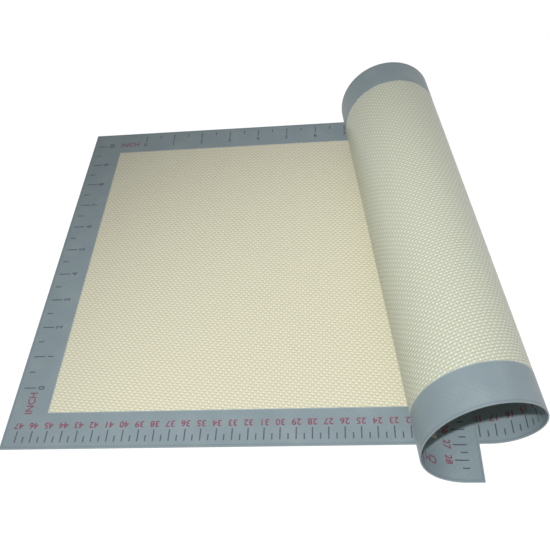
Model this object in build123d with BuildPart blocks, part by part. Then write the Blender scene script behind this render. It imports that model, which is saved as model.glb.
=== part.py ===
from build123d import *
import os
from math import cos, pi, radians, sin

# A silicone baking mat. Its left part lies flat and its right part is rolled up over it into a
# loose tube, printed face inwards. The mat is one bonded laminate: a woven glass-fibre cloth,
# a silicone coat on each face of the field, a grey silicone coat on each face of the border,
# and measuring scales printed on the upper border. Lengths are in millimetres.
# Sheet places are (u, v): u along the long side from the left edge, v from the near edge.

os.makedirs("parts", exist_ok=True)

# The sheet, measured flat
sheet_length = 520.0
sheet_width = 315.0
border_width = 26.0
cloth_thickness = 0.4
coat_thickness = 0.2

# The roll, with its radii at the underside, which is the outside of the tube
skew_angle = 6.38
laid_length = 301.6
rising_radius = 27.7
crown_radius = 38.7
bottom_run = 17.5
wrap_gap = 0.5
facets_per_quarter = 15

# The printed scales
cm_pitch = 10.0
inch_pitch = 25.4
tick_width = 0.8
tick_inset = 4.3
long_tick = 8.2
half_tick = 4.2
ink_thickness = 0.05
near_zero_inset = 41.3
right_zero_inset = 21.5
right_tick_inset = 7.4
left_zero_inset = 45.0
far_zero_inset = 47.5
least_end_inset = 8.0

# Small allowances: where two corners of the sheet end blunt, how near two roll lines may lie,
# and how far a tick's block stands past the ink on both sides before it is trimmed to it
corner_land = 0.1
least_step = 0.2
ink_trim = 0.15

# Worked out from the sizes above
sheet_thickness = cloth_thickness + 2 * coat_thickness
cloth_base = coat_thickness
cloth_top = coat_thickness + cloth_thickness
wrap_pitch = sheet_thickness + wrap_gap
quarter_turn = pi / 2
skew = radians(skew_angle)
origin_u = laid_length / 2
origin_v = sheet_width / 2

# The inner turn passes one wrap pitch above the first, bottom_run back from where that one rose
falling_radius = rising_radius + (bottom_run - wrap_pitch) / 2
returning_radius = crown_radius - (bottom_run + wrap_pitch) / 2
turn_radii = (rising_radius, crown_radius, falling_radius, returning_radius)

# Across the roll, along its axis, and up
across = Vector(cos(skew), sin(skew), 0)
along = Vector(-sin(skew), cos(skew), 0)
up = Vector(0, 0, 1)
sheet_corner = Vector(-origin_u, -origin_v, 0)


def distance_across(u, v):
    """How far a sheet place lies from the near-left corner, square to the roll's axis."""
    return u * cos(skew) + v * sin(skew)


def distance_along(u, v):
    """How far a sheet place lies from the near-left corner, along the roll's axis."""
    return v * cos(skew) - u * sin(skew)


def underside(s):
    """Reach, height and slope of the underside at a distance s across the sheet."""
    reach, height, slope = min(s, laid_length), 0, 0
    left = s - laid_length
    turn = 0
    while left > 0:
        for outer_radius in turn_radii:
            radius = outer_radius - turn * wrap_pitch
            bend = min(left / radius, quarter_turn)
            reach += radius * (sin(slope + bend) - sin(slope))
            height += radius * (cos(slope) - cos(slope + bend))
            slope += bend
            left = max(left - radius * bend, 0)
        straight = min(left, bottom_run)
        reach += straight
        left -= straight
        turn += 1
    return reach, height, slope


def roll_frame(s):
    """The plane square to the sheet at s: x along the roll's axis, y towards the printed face."""
    reach, height, slope = underside(s)
    heading = across * cos(slope) + up * sin(slope)
    return Plane(origin=sheet_corner + across * reach + up * height, x_dir=along, z_dir=heading)


# The field is the sheet within its border, and each ends in a blunt far-right corner
field_right = sheet_length - border_width
field_back = sheet_width - border_width
sheet_end = distance_across(sheet_length, sheet_width) - corner_land
field_end = distance_across(field_right, field_back) - corner_land


def sheet_span(s, inset=0):
    """Both ends, along the roll's axis, of the sheet's line at s, inset from the edges."""
    near_side = (inset - s * sin(skew)) / cos(skew)
    far_side = (sheet_width - inset - s * sin(skew)) / cos(skew)
    right_side = (s * cos(skew) - (sheet_length - inset)) / sin(skew)
    return max(near_side, right_side), far_side


def roll_lines():
    """Distances of the lines along which the roll is bent, and of its sheet's corners."""
    lines = []
    reached = laid_length
    turn = 0
    while reached < sheet_end:
        for outer_radius in turn_radii:
            step = (outer_radius - turn * wrap_pitch) * quarter_turn / facets_per_quarter
            lines += [reached + i * step for i in range(facets_per_quarter)]
            reached += step * facets_per_quarter
        lines.append(reached)
        reached += bottom_run
        turn += 1
    kept = [
        laid_length,
        distance_across(field_right, border_width),
        distance_across(sheet_length, 0),
        field_end,
        sheet_end,
    ]
    clear = [s for s in lines if s < sheet_end and min(abs(s - k) for k in kept) > least_step]
    return sorted(clear + kept)


bend_lines = roll_lines()


def rolled_band(lines, span, low, high, mode=Mode.ADD):
    """Loft one band of a layer round the roll; span gives its two ends on each line."""
    sections = []
    for s in lines:
        first, last = span(s)
        with BuildSketch(roll_frame(s)) as band:
            with Locations(((first + last) / 2, (low + high) / 2)):
                Rectangle(last - first, high - low)
        sections.append(band.sketch)
    return loft(sections, ruled=True, mode=mode)


def laid_outline(inset=0):
    """Corners of the flat part, which ends at the skewed line where the roll begins."""
    near_end = (laid_length - inset * sin(skew)) / cos(skew)
    far_end = (laid_length - (sheet_width - inset) * sin(skew)) / cos(skew)
    back = sheet_width - inset
    corners = [(inset, inset), (near_end, inset), (far_end, back), (inset, back)]
    return [(u - origin_u, v - origin_v) for u, v in corners]


def whole_layer(low, high):
    """A layer that covers the whole sheet, edge to edge."""
    with BuildSketch(Plane.XY.offset(low)) as laid:
        Polygon(*laid_outline(), align=None)
    extrude(laid.sketch, amount=high - low)
    rolled_band(bend_lines, sheet_span, low, high)


def field_layer(low, high):
    """A layer that covers the field only."""
    with BuildSketch(Plane.XY.offset(low)) as laid:
        Polygon(*laid_outline(border_width), align=None)
    extrude(laid.sketch, amount=high - low)
    lines = [s for s in bend_lines if s <= field_end]
    rolled_band(lines, lambda s: sheet_span(s, border_width), low, high)


def border_layer(low, high):
    """A layer that covers the border only: beside the field, and past its far-right corner."""
    with BuildSketch(Plane.XY.offset(low)) as laid:
        Polygon(*laid_outline(), align=None)
        Polygon(*laid_outline(border_width), align=None, mode=Mode.SUBTRACT)
    extrude(laid.sketch, amount=high - low)
    beside = [s for s in bend_lines if s <= field_end]
    beyond = [s for s in bend_lines if s >= field_end]
    rolled_band(beside, lambda s: (sheet_span(s)[0], sheet_span(s, border_width)[0]), low, high)
    rolled_band(beside, lambda s: (sheet_span(s, border_width)[1], sheet_span(s)[1]), low, high)
    rolled_band(beyond, sheet_span, low, high)


# Glass-fibre cloth, woven, that keeps the mat from stretching
with BuildPart() as glass_fibre_cloth:
    whole_layer(cloth_base, cloth_top)

glass_fibre_cloth.part.label = "glass_fibre_cloth"
export_step(glass_fibre_cloth.part, "parts/glass_fibre_cloth.step")

# Clear silicone over the cloth in the field, on the printed face
with BuildPart() as top_field_coat:
    field_layer(cloth_top, sheet_thickness)

top_field_coat.part.label = "top_field_coat"
export_step(top_field_coat.part, "parts/top_field_coat.step")

# The same clear silicone on the underside of the field
with BuildPart() as underside_field_coat:
    field_layer(0, cloth_base)

underside_field_coat.part.label = "underside_field_coat"
export_step(underside_field_coat.part, "parts/underside_field_coat.step")

# Grey silicone along all four edges, on the printed face
with BuildPart() as top_border_coat:
    border_layer(cloth_top, sheet_thickness)

top_border_coat.part.label = "top_border_coat"
export_step(top_border_coat.part, "parts/top_border_coat.step")

# The same grey silicone along the edges of the underside
with BuildPart() as underside_border_coat:
    border_layer(0, cloth_base)

underside_border_coat.part.label = "underside_border_coat"
export_step(underside_border_coat.part, "parts/underside_border_coat.step")


def place_on_top(u, v):
    """The spot on the printed face at (u, v), with x along u, y along v and z off the face."""
    frame = roll_frame(distance_across(u, v))
    spot = frame.origin + along * distance_along(u, v) + frame.y_dir * sheet_thickness
    u_direction = frame.z_dir * cos(skew) - along * sin(skew)
    return Plane(origin=spot, x_dir=u_direction, z_dir=frame.y_dir).location


def ink_patch(u, v, reach):
    """A patch of printed ink that follows the face for a reach on every side of (u, v)."""
    s, t = distance_across(u, v), distance_along(u, v)
    between = [line for line in bend_lines if abs(line - s) < reach - least_step]
    lines = [s - reach, *between, s + reach]
    ends = (t - reach, t + reach)
    inner, outer = sheet_thickness, sheet_thickness + ink_thickness
    return rolled_band(lines, lambda line: ends, inner, outer, mode=Mode.PRIVATE)


def tick_rows(edge_length, zero_inset, pitch):
    """Each tick's distance from zero and its length, as far as the edge has room for them.

    Whole steps are long ticks and half steps are short ones.
    """
    halves = int(2 * (edge_length - zero_inset - least_end_inset) / pitch)
    return [(i * pitch / 2, half_tick if i % 2 else long_tick) for i in range(halves + 1)]


def print_ticks(places, lengthwise):
    """Print a tick at each (u, v, length); lengthwise ones run along u, the others along v."""
    ticks = []
    for u, v, length in places:
        size_u, size_v = (length, tick_width) if lengthwise else (tick_width, length)
        block = Box(size_u, size_v, 2 * (ink_thickness + ink_trim), mode=Mode.PRIVATE)
        ticks.append(place_on_top(u, v) * block & ink_patch(u, v, length))
    add(ticks)


# Centimetre ticks along the near edge, counted from the right
with BuildPart() as near_cm_ticks:
    near_zero = sheet_length - near_zero_inset
    rows = tick_rows(sheet_length, near_zero_inset, cm_pitch)
    print_ticks([(near_zero - d, tick_inset + length / 2, length) for d, length in rows], False)

near_cm_ticks.part.label = "near_cm_ticks"
export_step(near_cm_ticks.part, "parts/near_cm_ticks.step")

# Centimetre ticks along the right edge, counted from the far corner
with BuildPart() as right_cm_ticks:
    right_zero = sheet_width - right_zero_inset
    right_line = sheet_length - right_tick_inset
    rows = tick_rows(sheet_width, right_zero_inset, cm_pitch)
    print_ticks([(right_line - length / 2, right_zero - d, length) for d, length in rows], True)

right_cm_ticks.part.label = "right_cm_ticks"
export_step(right_cm_ticks.part, "parts/right_cm_ticks.step")

# Inch ticks along the left edge, counted from the near corner
with BuildPart() as left_inch_ticks:
    rows = tick_rows(sheet_width, left_zero_inset, inch_pitch)
    print_ticks([(tick_inset + length / 2, left_zero_inset + d, length) for d, length in rows], True)

left_inch_ticks.part.label = "left_inch_ticks"
export_step(left_inch_ticks.part, "parts/left_inch_ticks.step")

# Inch ticks along the far edge, counted from the left
with BuildPart() as far_inch_ticks:
    far_line = sheet_width - tick_inset
    rows = tick_rows(sheet_length, far_zero_inset, inch_pitch)
    print_ticks([(far_zero_inset + d, far_line - length / 2, length) for d, length in rows], False)

far_inch_ticks.part.label = "far_inch_ticks"
export_step(far_inch_ticks.part, "parts/far_inch_ticks.step")
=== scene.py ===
"""A silicone baking mat with printed scales, laid flat at one end and rolled up at the other."""

import math

import bpy
from mathutils import Matrix, Vector


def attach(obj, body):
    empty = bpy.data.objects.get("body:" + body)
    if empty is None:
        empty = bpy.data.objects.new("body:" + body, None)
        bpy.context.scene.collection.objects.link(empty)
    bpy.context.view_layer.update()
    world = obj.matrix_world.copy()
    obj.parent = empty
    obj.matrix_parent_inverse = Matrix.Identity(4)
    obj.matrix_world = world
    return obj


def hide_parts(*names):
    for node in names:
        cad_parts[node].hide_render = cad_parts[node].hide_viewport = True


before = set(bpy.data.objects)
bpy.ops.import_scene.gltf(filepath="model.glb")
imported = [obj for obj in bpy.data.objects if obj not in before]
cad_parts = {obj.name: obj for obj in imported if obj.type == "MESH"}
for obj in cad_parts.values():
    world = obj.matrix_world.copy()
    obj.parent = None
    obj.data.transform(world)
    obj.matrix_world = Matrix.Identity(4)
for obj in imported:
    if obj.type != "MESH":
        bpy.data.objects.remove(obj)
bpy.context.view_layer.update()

# The camera stands over the near long edge and looks down along the mat.
# Its place and lens were worked out from the printed scales in the photograph.
eye = Vector((0.07297, -0.3637, 0.39572))
yaw, pitch, tilt = -0.1534, 0.8483, -0.1523
focal_length, nearest_seen = 46.872, 0.01
view = Vector((math.sin(yaw) * math.cos(pitch), math.cos(yaw) * math.cos(pitch), -math.sin(pitch)))
level = Vector((math.cos(yaw), -math.sin(yaw), 0))
upright = level.cross(view)
camera_right = level * math.cos(tilt) + upright * math.sin(tilt)
camera_up = upright * math.cos(tilt) - level * math.sin(tilt)
camera_data = bpy.data.cameras.new("camera")
camera_data.lens = focal_length
camera_data.clip_start = nearest_seen
camera = bpy.data.objects.new("camera", camera_data)
turned = Matrix((camera_right, camera_up, -view)).transposed().to_4x4()
camera.matrix_world = Matrix.Translation(eye) @ turned
bpy.context.scene.collection.objects.link(camera)
bpy.context.scene.camera = camera
bpy.context.scene.view_settings.view_transform = "Standard"


# The worktop under the mat is a plain white floor, and the air above it is white too.
# The camera sees both as plain white. Light that bounces finds a pale floor and dimmer air.
class Signal:
    """One output of a node tree. Sums on it add Math nodes to the same tree."""

    def __init__(self, socket):
        self.socket = socket
        self.tree = socket.id_data

    def math(self, operation, *others):
        return add_node(self.tree, "ShaderNodeMath", {"operation": operation}, [self, *others])

    def __add__(self, other):
        return self.math("ADD", other)

    def __sub__(self, other):
        return self.math("SUBTRACT", other)

    def __mul__(self, other):
        return self.math("MULTIPLY", other)

    def __truediv__(self, other):
        return self.math("DIVIDE", other)

    def __radd__(self, other):
        return self + other

    def __rmul__(self, other):
        return self * other

    def __rsub__(self, other):
        return self * -1 + other


def add_node(tree, kind, settings=None, inputs=(), output=0):
    """Add a node, set its settings, then fill its sockets with values or links.

    A list of signals is linked in turn to a socket that takes several.
    """
    node = tree.nodes.new(kind)
    for name, value in (settings or {}).items():
        setattr(node, name, value)
    for name, value in inputs.items() if isinstance(inputs, dict) else enumerate(inputs):
        for single in value if isinstance(value, list) else [value]:
            if isinstance(single, Signal):
                tree.links.new(single.socket, node.inputs[name])
            elif single is not None:
                node.inputs[name].default_value = single
    return Signal(node.outputs[output]) if node.outputs else node


def new_material(name):
    """An empty material and its node tree."""
    material = bpy.data.materials.new(name)
    material.use_nodes = True
    material.node_tree.nodes.clear()
    return material, material.node_tree


def seen_directly(tree):
    """One for a ray from the camera, off gloss or through glass, and else nothing."""
    rays = [add_node(tree, "ShaderNodeLightPath", output=name) for name in
            ("Is Camera Ray", "Is Glossy Ray", "Is Transmission Ray")]
    return rays[0].math("MAXIMUM", rays[1]).math("MAXIMUM", rays[2])


floor_half, floor_tone, floor_glow, glow_share = 4.0, 0.8, 1.1, 0.9
floor_mesh = bpy.data.meshes.new("floor")
floor_corners = [(x * floor_half, y * floor_half, 0)
                 for x, y in ((-1, -1), (1, -1), (1, 1), (-1, 1))]
floor_mesh.from_pydata(floor_corners, [], [(0, 1, 2, 3)])
floor = bpy.data.objects.new("floor", floor_mesh)
bpy.context.scene.collection.objects.link(floor)
white_floor, tree = new_material("white_floor")
lit = add_node(tree, "ShaderNodeBsdfDiffuse",
               inputs={"Color": (floor_tone, floor_tone, floor_tone, 1)})
glow = add_node(tree, "ShaderNodeEmission",
                inputs={"Color": (1, 1, 1, 1), "Strength": floor_glow})
mixed = add_node(tree, "ShaderNodeMixShader",
                 inputs=[seen_directly(tree) * glow_share, lit, glow])
add_node(tree, "ShaderNodeOutputMaterial", inputs={"Surface": mixed})
floor_mesh.materials.append(white_floor)

world = bpy.data.worlds.new("white_air")
world.use_nodes = True
world.node_tree.nodes.clear()
bpy.context.scene.world = world
tree = world.node_tree
air_level = 0.27
shown = add_node(tree, "ShaderNodeBackground", inputs={"Color": (1, 1, 1, 1)})
fill = add_node(tree, "ShaderNodeBackground",
                inputs={"Color": (1, 1, 1, 1), "Strength": air_level})
mixed = add_node(tree, "ShaderNodeMixShader", inputs=[seen_directly(tree), fill, shown])
add_node(tree, "ShaderNodeOutputWorld", inputs={"Surface": mixed})


# One shaded lamp hangs above and behind the camera and points at the near end of the roll.
# It leaves the deep inside of the roll dark, and dims towards the far and left edges of the mat.
def aim_lamp(name, place, target, radius, cone, soft_edge, watts):
    """A round lamp with a soft-edged cone at a place, turned to shine on a target."""
    data = bpy.data.lights.new(name, "SPOT")
    data.shadow_soft_size = radius
    data.spot_size = cone
    data.spot_blend = soft_edge
    data.energy = watts
    lamp = bpy.data.objects.new(name, data)
    direction = Vector(target) - Vector(place)
    lamp.matrix_world = (Matrix.Translation(Vector(place))
                         @ direction.to_track_quat("-Z", "Y").to_matrix().to_4x4())
    lamp.visible_camera = False
    bpy.context.scene.collection.objects.link(lamp)


aim_lamp("shaded_lamp", place=(-0.023, -0.635, 1.161), target=(0.1, -0.185, 0),
         radius=0.02, cone=0.66, soft_edge=0.9, watts=55)


# The mat itself is one sheet of woven glass cloth filled and faced with silicone.
# It is worked out flat, then rolled up from its right end, at a small skew, as it is stored.
sheet_length, sheet_width = 0.52, 0.315
cloth_base, cloth_top, sheet_thickness, edge_cover = 0.0002, 0.0006, 0.0008, 0.0001
cloth_steps = (260, 40)
roll_sizes = {
    "Skew": math.radians(6.38),
    "Laid length": 0.3016,
    "Rising radius": 0.0277,
    "Crown radius": 0.0387,
    "Falling radius": 0.0358,
    "Returning radius": 0.0293,
    "Bottom run": 0.0175,
    "Wrap pitch": 0.0013,
    "Origin u": 0.1508,
    "Origin v": 0.1575,
}
quarter_turn = math.pi / 2


def new_tree(name, sizes):
    """A geometry tree with a named input for each size; returns it and its inputs' signals."""
    tree = bpy.data.node_groups.new(name, "GeometryNodeTree")
    tree.interface.new_socket("Geometry", in_out="INPUT", socket_type="NodeSocketGeometry")
    for size in sizes:
        tree.interface.new_socket(size, in_out="INPUT", socket_type="NodeSocketFloat")
    tree.interface.new_socket("Geometry", in_out="OUTPUT", socket_type="NodeSocketGeometry")
    given = tree.nodes.new("NodeGroupInput")
    return tree, {out.name: Signal(out) for out in given.outputs if out.name}


def end_tree(tree, geometry, material):
    """End a tree with real faces in their material."""
    real = add_node(tree, "GeometryNodeRealizeInstances", inputs=[geometry])
    faced = add_node(tree, "GeometryNodeSetMaterial",
                     inputs={"Geometry": real, "Material": material})
    add_node(tree, "NodeGroupOutput", inputs=[faced])


def split(vector):
    """The three parts of a vector signal."""
    return [add_node(vector.tree, "ShaderNodeSeparateXYZ", inputs=[vector], output=axis)
            for axis in "XYZ"]


roll_up, given = new_tree("roll_up", roll_sizes)
position = add_node(roll_up, "GeometryNodeInputPosition")
kept = add_node(roll_up, "GeometryNodeStoreNamedAttribute",
                {"data_type": "FLOAT_VECTOR", "domain": "POINT"},
                {"Geometry": given["Geometry"], "Name": "flat_place", "Value": position})
place_u, place_v, off_face = split(position)
skew_cos, skew_sin = given["Skew"].math("COSINE"), given["Skew"].math("SINE")
across = place_u * skew_cos + place_v * skew_sin
along = place_v * skew_cos - place_u * skew_sin
reach = across.math("MINIMUM", given["Laid length"])
left = (across - given["Laid length"]).math("MAXIMUM", 0)
height, slope = reach * 0, reach * 0
first_turn = [given[f"{quarter} radius"]
              for quarter in ("Rising", "Crown", "Falling", "Returning")]
second_turn = [radius - given["Wrap pitch"] for radius in first_turn]
for radii in (first_turn, second_turn):
    for radius in radii:
        bend = (left / radius).math("MINIMUM", quarter_turn)
        after = slope + bend
        reach = reach + radius * (after.math("SINE") - slope.math("SINE"))
        height = height + radius * (slope.math("COSINE") - after.math("COSINE"))
        slope = after
        left = (left - radius * bend).math("MAXIMUM", 0)
    straight = left.math("MINIMUM", given["Bottom run"])
    reach = reach + straight
    left = left - straight
reach = reach - off_face * slope.math("SINE")
height = height + off_face * slope.math("COSINE")
rolled = add_node(roll_up, "ShaderNodeCombineXYZ", inputs=[
    reach * skew_cos - along * skew_sin - given["Origin u"],
    reach * skew_sin + along * skew_cos - given["Origin v"],
    height,
])
moved = add_node(roll_up, "GeometryNodeSetPosition", inputs={"Geometry": kept, "Position": rolled})
add_node(roll_up, "NodeGroupOutput", inputs=[moved])


def rolled_geometry(tree, geometry):
    """Flat geometry, rolled up with the sheet."""
    return add_node(tree, "GeometryNodeGroup", {"node_tree": roll_up},
                    {"Geometry": geometry, **roll_sizes})


def flat_block(tree, low, high, steps):
    """A closed block between two corners, with its faces cut into steps along x and y.

    Its broad faces are smooth and its edges sharp, and its map holds the printed face above
    the underside, with the thin edges between them.
    """
    sharp_angle = 1
    face_share, edge_start, edge_share, printed_start = 0.48, 0.49, 0.02, 0.52

    def vector(operation, *inputs):
        return add_node(tree, "ShaderNodeVectorMath", {"operation": operation}, inputs)

    size = vector("SUBTRACT", high, low)
    middle = vector("MULTIPLY", vector("ADD", high, low), (0.5, 0.5, 0.5))
    block = add_node(tree, "GeometryNodeMeshCube",
                     inputs={"Size": size, "Vertices X": steps[0] + 1, "Vertices Y": steps[1] + 1})
    block = add_node(tree, "GeometryNodeTransform",
                     inputs={"Geometry": block, "Translation": middle})
    facing = add_node(tree, "GeometryNodeFieldOnDomain",
                      {"data_type": "FLOAT_VECTOR", "domain": "FACE"},
                      [add_node(tree, "GeometryNodeInputNormal")])
    facing_u, _, facing_up = split(facing)
    broad = facing_up.math("ABSOLUTE").math("GREATER_THAN", 0.5)
    block = add_node(tree, "GeometryNodeSetShadeSmooth",
                     inputs={"Geometry": block, "Shade Smooth": broad})
    corner = add_node(tree, "GeometryNodeInputMeshEdgeAngle").math("GREATER_THAN", sharp_angle)
    block = add_node(tree, "GeometryNodeSetShadeSmooth", {"domain": "EDGE"},
                     {"Geometry": block, "Selection": corner, "Shade Smooth": False})
    share_u, share_v, share_h = split(vector(
        "DIVIDE", vector("SUBTRACT", add_node(tree, "GeometryNodeInputPosition"), low), size))
    end_on = facing_u.math("ABSOLUTE").math("GREATER_THAN", 0.5)
    map_x = share_u + (share_v - share_u) * end_on
    edge_y = share_h * edge_share + edge_start
    broad_y = share_v * face_share + printed_start * facing_up.math("GREATER_THAN", 0)
    map_y = edge_y + (broad_y - edge_y) * broad
    spot = add_node(tree, "ShaderNodeCombineXYZ", inputs=[map_x, map_y])
    return add_node(tree, "GeometryNodeStoreNamedAttribute",
                    {"data_type": "FLOAT2", "domain": "CORNER"},
                    {"Geometry": block, "Name": "OFBake", "Value": spot})


def make_piece(name, tree, sizes):
    """Run a geometry tree with its sizes and keep what it makes as a plain mesh."""
    piece = bpy.data.objects.new(name, bpy.data.meshes.new(name))
    bpy.context.scene.collection.objects.link(piece)
    modifier = piece.modifiers.new(name, "NODES")
    modifier.node_group = tree
    for item in tree.interface.items_tree:
        if item.in_out == "INPUT" and item.name in sizes:
            modifier[item.identifier] = float(sizes[item.name])
    bpy.context.view_layer.update()
    evaluated = piece.evaluated_get(bpy.context.evaluated_depsgraph_get())
    mesh = bpy.data.meshes.new_from_object(evaluated)
    piece.modifiers.remove(modifier)
    piece.data = mesh
    mesh.name = name
    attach(piece, "root")
    return piece


def blended(tree, share, stops):
    """A colour picked by a share from stops, each a position and a colour."""
    picked = add_node(tree, "ShaderNodeValToRGB", inputs=[share])
    ramp = picked.socket.node.color_ramp
    while len(ramp.elements) < len(stops):
        ramp.elements.new(1)
    for element, (position, colour) in zip(ramp.elements, stops):
        element.position, element.color = position, (*colour, 1)
    return picked


def stored_place(tree):
    """A point's place on the flat sheet, from before it was rolled up."""
    return add_node(tree, "ShaderNodeAttribute", {"attribute_name": "flat_place"},
                    output="Vector")


def mottling(tree, scale):
    """Slow, soft noise over the flat sheet, from nought to one."""
    return add_node(tree, "ShaderNodeTexNoise",
                    inputs={"Vector": stored_place(tree), "Scale": scale, "Detail": 3})


woven_cloth, tree = new_material("woven_cloth")
fibres = blended(tree, mottling(tree, 1500),
                 [(0.3, (0.48, 0.47, 0.38)), (0.7, (0.62, 0.61, 0.52))])
surface = add_node(tree, "ShaderNodeBsdfPrincipled",
                   inputs={"Base Color": fibres, "Roughness": 0.7})
add_node(tree, "ShaderNodeOutputMaterial", inputs={"Surface": surface})

tree, given = new_tree("cloth_sheet", ["Length", "Width", "Base", "Top", "Edge cover"])
low = add_node(tree, "ShaderNodeCombineXYZ",
               inputs=[given["Edge cover"], given["Edge cover"], given["Base"]])
high = add_node(tree, "ShaderNodeCombineXYZ", inputs=[
    given["Length"] - given["Edge cover"], given["Width"] - given["Edge cover"], given["Top"]])
end_tree(tree, rolled_geometry(tree, flat_block(tree, low, high, cloth_steps)), woven_cloth)
cloth = make_piece("cloth_sheet", tree, {
    "Length": sheet_length, "Width": sheet_width, "Base": cloth_base, "Top": cloth_top,
    "Edge cover": edge_cover,
})
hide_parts("glass_fibre_cloth")


# The field is clear silicone that fills the weave and shows its yarns as small bumps.
# Yarns cross at an even pitch, and both faces of each panel dip where the yarns lie lower.
border_width = 0.026
panels, crossings_u, crossings_v = 4, 252, 124
relief_height, weft_lean, millimetre = 0.00009, 0.125, 0.001
field_length = sheet_length - 2 * border_width
field_width = sheet_width - 2 * border_width
pitch_u, pitch_v = field_length / crossings_u, field_width / crossings_v


def yarn_waves(place_u, place_v):
    """How high the yarns of each direction ride, from one to minus one, at a flat place.

    The lengthwise yarns lean a little towards the near edge, as in the photograph.
    """
    return [((place - border_width) * (math.pi / pitch)).math("COSINE") for place, pitch in
            ((place_u, pitch_u), (place_v + (place_u - border_width) * weft_lean, pitch_v))]


def yarn_height(wave_u, wave_v, sway, roundness):
    """Height of the upper yarn of a plain weave, in millimetres, from a wave along each yarn.

    The lengthwise yarns are round, and the crosswise ones flat and close together.
    """
    def one_way(along, across, over, fall):
        lean = along * across.math("SIGN") * (sway * over)
        return lean + (across.math("ABSOLUTE") - 1) * fall

    return one_way(wave_u, wave_v, 1, roundness).math(
        "MAXIMUM", one_way(wave_v, wave_u, -1, roundness / 3))


def weave_tone_and_shade(body, body_share, ridge_share, crossing_share):
    """A face's tone, from its body, the ridges of the lengthwise yarns and the crossings; painted
    highlight and shade.
    """
    return (body * body_share + wave_v * wave_v * ridge_share
            + (wave_u * wave_v + 1) * crossing_share)


field_silicone, tree = new_material("field_silicone")
place_u, place_v, off_face = split(stored_place(tree))
wave_u, wave_v = yarn_waves(place_u, place_v)
sway, roundness = 0.1, 0.14
yarns = yarn_height(wave_u, wave_v, sway, roundness)
detail = yarns - wave_u * wave_v * sway
# The printed face is lighter on high yarns and crossings as painted highlight, and darker in the
# pits between yarns as painted shade, over the weave's own tone.
tone = weave_tone_and_shade((yarns + roundness) / (sway + roundness),
                  body_share=0.3, ridge_share=0.25, crossing_share=0.225)
printed_tint_and_shade = blended(tree, tone, [(0.1, (0.5, 0.48, 0.34)), (0.55, (0.68, 0.655, 0.49)),
                                    (0.95, (0.84, 0.82, 0.67))])
# The underside, the outside of the roll, is the same silicone coloured as a lit copy: its
# whitish-green upper stops are painted sheen and its bright crossings painted glints, over a khaki
# weave tone.
under_tone_and_glints = weave_tone_and_shade((wave_u * wave_v).math("ABSOLUTE"),
                        body_share=0.42, ridge_share=0.25, crossing_share=0.165)
under_tint_and_sheen = blended(tree, under_tone_and_glints, [(0.1, (0.44, 0.45, 0.32)), (0.55, (0.595, 0.62, 0.49)),
                                        (0.95, (0.77, 0.82, 0.74))])
printed = off_face.math("GREATER_THAN", sheet_thickness / 2)
tint = add_node(tree, "ShaderNodeMix", {"data_type": "RGBA"},
                {0: printed, 6: under_tint_and_sheen, 7: printed_tint_and_shade}, output=2)
bumped = add_node(tree, "ShaderNodeBump",
                  inputs={"Strength": 1, "Distance": millimetre, "Height": detail})
surface = add_node(tree, "ShaderNodeBsdfPrincipled",
                   inputs={"Base Color": tint, "Roughness": 0.36, "Normal": bumped})
add_node(tree, "ShaderNodeOutputMaterial", inputs={"Surface": surface})

tree, given = new_tree("field_panel", ["Start", "End", "Near", "Far", "Thickness", "Relief"])
low = add_node(tree, "ShaderNodeCombineXYZ", inputs=[given["Start"], given["Near"], 0])
high = add_node(tree, "ShaderNodeCombineXYZ",
                inputs=[given["End"], given["Far"], given["Thickness"]])
block = flat_block(tree, low, high, (crossings_u * 2 // panels, crossings_v * 2))
place_u, place_v, off_face = split(add_node(tree, "GeometryNodeInputPosition"))
side = (off_face / given["Thickness"] - 0.5) * 2
wave_u, wave_v = yarn_waves(place_u, place_v)
lift = (wave_u * wave_v - 1) * given["Relief"] * side
shift = add_node(tree, "ShaderNodeCombineXYZ", inputs=[0, 0, lift])
bumpy = add_node(tree, "GeometryNodeSetPosition", inputs={"Geometry": block, "Offset": shift})
end_tree(tree, rolled_geometry(tree, bumpy), field_silicone)
for panel in range(panels):
    make_piece(f"field_panel_{panel + 1}", tree, {
        "Start": border_width + panel * field_length / panels,
        "End": border_width + (panel + 1) * field_length / panels,
        "Near": border_width, "Far": sheet_width - border_width,
        "Thickness": sheet_thickness, "Relief": relief_height,
    })
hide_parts("top_field_coat", "underside_field_coat")


# The border is blue-grey silicone, coloured through, on both faces along all four edges.
# Four strips meet at the corners, the long ones whole and the short ones between them.
rim_inset, rim_reach, fringe_reach, weave_height = 0.0012, 0.0006, 0.0008, 0.008
mottle_base, mottle_share, weave_share, rim_share, fringe_share = 0.32, 0.36, 0.02, 0.3, 0.7
border_silicone, tree = new_material("border_silicone")
place_u, place_v, _ = split(stored_place(tree))
wave_u, wave_v = yarn_waves(place_u, place_v)
from_edge = place_u.math("MINIMUM", sheet_length - place_u).math(
    "MINIMUM", place_v).math("MINIMUM", sheet_width - place_v)
rim_line = (1 - (from_edge - rim_inset).math("ABSOLUTE") / rim_reach).math("MAXIMUM", 0)
fringe = (1 - (border_width - from_edge) / fringe_reach).math("MAXIMUM", 0)
tone = (mottling(tree, 45) * mottle_share + mottle_base + wave_u * wave_v * weave_share
        - rim_line * rim_share + fringe * fringe_share)
greys = blended(tree, tone, [(0, (0.14, 0.185, 0.205)), (0.5, (0.225, 0.287, 0.312)),
                             (1, (0.42, 0.47, 0.45))])
bumped = add_node(tree, "ShaderNodeBump", inputs={
    "Strength": 1, "Distance": millimetre, "Height": wave_u * wave_v * weave_height})
surface = add_node(tree, "ShaderNodeBsdfPrincipled",
                   inputs={"Base Color": greys, "Roughness": 0.45, "Normal": bumped})
add_node(tree, "ShaderNodeOutputMaterial", inputs={"Surface": surface})

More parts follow.
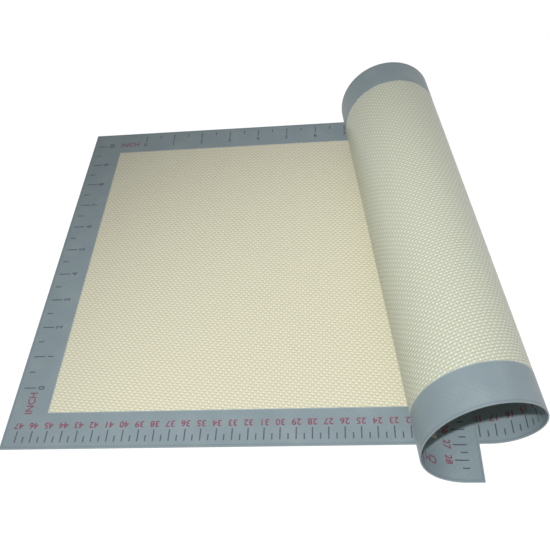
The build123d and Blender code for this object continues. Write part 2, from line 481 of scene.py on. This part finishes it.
for name, low_corner, high_corner, steps in (
    ("near_border", (0, 0), (sheet_length, border_width), (400, 8)),
    ("far_border", (0, sheet_width - border_width), (sheet_length, sheet_width), (400, 8)),
    ("left_border", (0, border_width), (border_width, sheet_width - border_width), (4, 60)),
    ("right_border", (sheet_length - border_width, border_width),
     (sheet_length, sheet_width - border_width), (20, 60)),
):
    tree, given = new_tree(name, ["Start", "End", "Near", "Far", "Thickness"])
    low = add_node(tree, "ShaderNodeCombineXYZ", inputs=[given["Start"], given["Near"], 0])
    high = add_node(tree, "ShaderNodeCombineXYZ",
                    inputs=[given["End"], given["Far"], given["Thickness"]])
    block = flat_block(tree, low, high, steps)
    end_tree(tree, rolled_geometry(tree, block), border_silicone)
    make_piece(name, tree, {
        "Start": low_corner[0], "End": high_corner[0], "Near": low_corner[1],
        "Far": high_corner[1], "Thickness": sheet_thickness,
    })
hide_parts("top_border_coat", "underside_border_coat")


# Slate ink makes the ticks of the four scales, long at whole steps and short at half steps.
# Each is a thin raised print on the border; the near and right scales are in centimetres.
def new_ink(name, dark, light):
    """A matt ink, slightly mottled between two colours."""
    material, tree = new_material(name)
    ink = blended(tree, mottling(tree, 700), [(0.3, dark), (0.7, light)])
    surface = add_node(tree, "ShaderNodeBsdfPrincipled",
                       inputs={"Base Color": ink, "Roughness": 0.55})
    add_node(tree, "ShaderNodeOutputMaterial", inputs={"Surface": surface})
    return material


slate_ink = new_ink("slate_ink", (0.06, 0.07, 0.105), (0.09, 0.105, 0.14))
tick_sizes = {"Tick width": 0.0008, "Long tick": 0.0082, "Half tick": 0.0042,
              "Print base": sheet_thickness, "Ink": 0.00005}
tick_vertices = 9
cm_pitch, inch_pitch, tick_inset, right_tick_inset = 0.01, 0.0254, 0.0043, 0.0074
near_start, right_start, left_start, far_start = 0.0413, 0.0215, 0.045, 0.0475
scales = {
    "near_cm": {"Zero u": sheet_length - near_start, "Zero v": tick_inset,
                "Turn": 0, "Pitch": cm_pitch, "Ticks": 95},
    "right_cm": {"Zero u": sheet_length - right_tick_inset, "Zero v": sheet_width - right_start,
                 "Turn": quarter_turn, "Pitch": cm_pitch, "Ticks": 58},
    "left_inch": {"Zero u": tick_inset, "Zero v": left_start,
                  "Turn": -quarter_turn, "Pitch": inch_pitch, "Ticks": 21},
    "far_inch": {"Zero u": far_start, "Zero v": sheet_width - tick_inset,
                 "Turn": math.pi, "Pitch": inch_pitch, "Ticks": 37},
}
scale_inputs = [*scales["near_cm"], *tick_sizes]


def placed_scale(tree, geometry, given):
    """Geometry of a scale that counts leftwards from nought, put at its own edge."""
    zero = add_node(tree, "ShaderNodeCombineXYZ",
                    inputs=[given["Zero u"], given["Zero v"], given["Print base"]])
    turn = add_node(tree, "ShaderNodeCombineXYZ", inputs=[0, 0, given["Turn"]])
    return add_node(tree, "GeometryNodeTransform",
                    inputs={"Geometry": geometry, "Translation": zero, "Rotation": turn})


tree, given = new_tree("scale_ticks", scale_inputs)
step = add_node(tree, "ShaderNodeCombineXYZ", inputs=[given["Pitch"] * -0.5])
spots = add_node(tree, "GeometryNodeMeshLine",
                 inputs={"Count": given["Ticks"], "Start Location": (0, 0, 0), "Offset": step})
size = add_node(tree, "ShaderNodeCombineXYZ", inputs=[given["Tick width"], 1, given["Ink"]])
tick = add_node(tree, "GeometryNodeMeshCube", inputs={"Size": size, "Vertices Y": tick_vertices})
stand = add_node(tree, "ShaderNodeCombineXYZ", inputs=[0, 0.5, given["Ink"] / 2])
tick = add_node(tree, "GeometryNodeTransform", inputs={"Geometry": tick, "Translation": stand})
at_half = add_node(tree, "GeometryNodeInputIndex").math("FLOORED_MODULO", 2)
tick_length = given["Long tick"] + (given["Half tick"] - given["Long tick"]) * at_half
stretch = add_node(tree, "ShaderNodeCombineXYZ", inputs=[1, tick_length, 1])
ticks = add_node(tree, "GeometryNodeInstanceOnPoints",
                 inputs={"Points": spots, "Instance": tick, "Scale": stretch})
ticks = add_node(tree, "GeometryNodeRealizeInstances", inputs=[placed_scale(tree, ticks, given)])
end_tree(tree, rolled_geometry(tree, ticks), slate_ink)
for name, scale in scales.items():
    ticks = make_piece(f"{name}_scale", tree, {**scale, **tick_sizes})
    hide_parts(f"{name}_ticks")


# Numbers stand over the whole steps, with their tops towards the edge of the mat.
# They are the same raised print, in crimson on the centimetre scales and slate on the others.
crimson_ink = new_ink("crimson_ink", (0.18, 0.05, 0.085), (0.25, 0.075, 0.12))
number_height, number_foot = 0.00615, 0.0141
stroke_gain, merge_reach = 0.00012, 1e-6


def print_text(tree, text, height, x, y):
    """Text centred over x with its foot at y, upside down as a scale's own frame has it."""
    letters = add_node(tree, "GeometryNodeStringToCurves",
                       {"align_x": "CENTER", "align_y": "BOTTOM_BASELINE"},
                       {"String": text, "Size": height})
    spot = add_node(tree, "ShaderNodeCombineXYZ", inputs=[x, y])
    return add_node(tree, "GeometryNodeTransform", inputs={
        "Geometry": letters, "Translation": spot, "Rotation": (0, 0, math.pi)})


def print_solid(tree, curves, given, material):
    """Fill outlines, a little thickened, as a thin closed print on the rolled scale."""
    outlines = add_node(tree, "GeometryNodeRealizeInstances", inputs=[curves])
    outlines = add_node(tree, "GeometryNodeSetSplineResolution",
                        inputs={"Geometry": outlines, "Resolution": 3})
    outlines = add_node(tree, "GeometryNodeResampleCurve", {"mode": "EVALUATED"}, [outlines])
    outward = add_node(tree, "ShaderNodeVectorMath", {"operation": "CROSS_PRODUCT"},
                       [add_node(tree, "GeometryNodeInputTangent"), (0, 0, stroke_gain)])
    outlines = add_node(tree, "GeometryNodeSetPosition",
                        inputs={"Geometry": outlines, "Offset": outward})
    filled = add_node(tree, "GeometryNodeFillCurve", inputs=[outlines])
    raised = add_node(tree, "GeometryNodeExtrudeMesh", inputs={
        "Mesh": filled, "Offset Scale": given["Ink"], "Individual": False})
    foot = add_node(tree, "GeometryNodeFlipFaces", inputs=[filled])
    both = add_node(tree, "GeometryNodeJoinGeometry", inputs=[[foot, raised]])
    closed = add_node(tree, "GeometryNodeMergeByDistance",
                      inputs={"Geometry": both, "Distance": merge_reach})
    end_tree(tree, rolled_geometry(tree, placed_scale(tree, closed, given)), material)


for name, scale in scales.items():
    tree, given = new_tree(f"{name}_numbers", [*scale_inputs, "Height", "Foot"])
    opening = tree.nodes.new("GeometryNodeRepeatInput")
    closing = tree.nodes.new("GeometryNodeRepeatOutput")
    opening.pair_with_output(closing)
    whole_steps = ((given["Ticks"] + 1) / 2).math("FLOOR")
    tree.links.new(whole_steps.socket, opening.inputs["Iterations"])
    count = Signal(opening.outputs["Iteration"])
    text = add_node(tree, "FunctionNodeValueToString", inputs=[count])
    number = print_text(tree, text, given["Height"], count * given["Pitch"] * -1, given["Foot"])
    printed_before = Signal(opening.outputs["Geometry"])
    both = add_node(tree, "GeometryNodeJoinGeometry", inputs=[[number, printed_before]])
    tree.links.new(both.socket, closing.inputs["Geometry"])
    ink = crimson_ink if name.endswith("cm") else slate_ink
    print_solid(tree, Signal(closing.outputs["Geometry"]), given, ink)
    make_piece(f"{name}_numbers", tree, {
        **scale, **tick_sizes, "Height": number_height, "Foot": number_foot})


# Each scale has its plain unit word before its nought, in crimson and larger than the numbers.
# The places follow the photograph. The right scale's word can't be seen there, and is placed
# much as the near scale's is.
word_height = 0.0069
for name, word, before, foot in (
    ("near_cm", "CM", 0.008, 0.0086), ("right_cm", "CM", 0.0095, 0.0086),
    ("left_inch", "INCH", 0.0118, 0.0104), ("far_inch", "INCH", 0.0145, 0.0132),
):
    tree, given = new_tree(f"{name}_word", [*scale_inputs, "Height", "Before", "Foot"])
    letters = print_text(tree, word, given["Height"], given["Before"], given["Foot"])
    print_solid(tree, letters, given, crimson_ink)
    make_piece(f"{name}_word", tree, {
        **scales[name], **tick_sizes, "Height": word_height, "Before": before, "Foot": foot,
    })
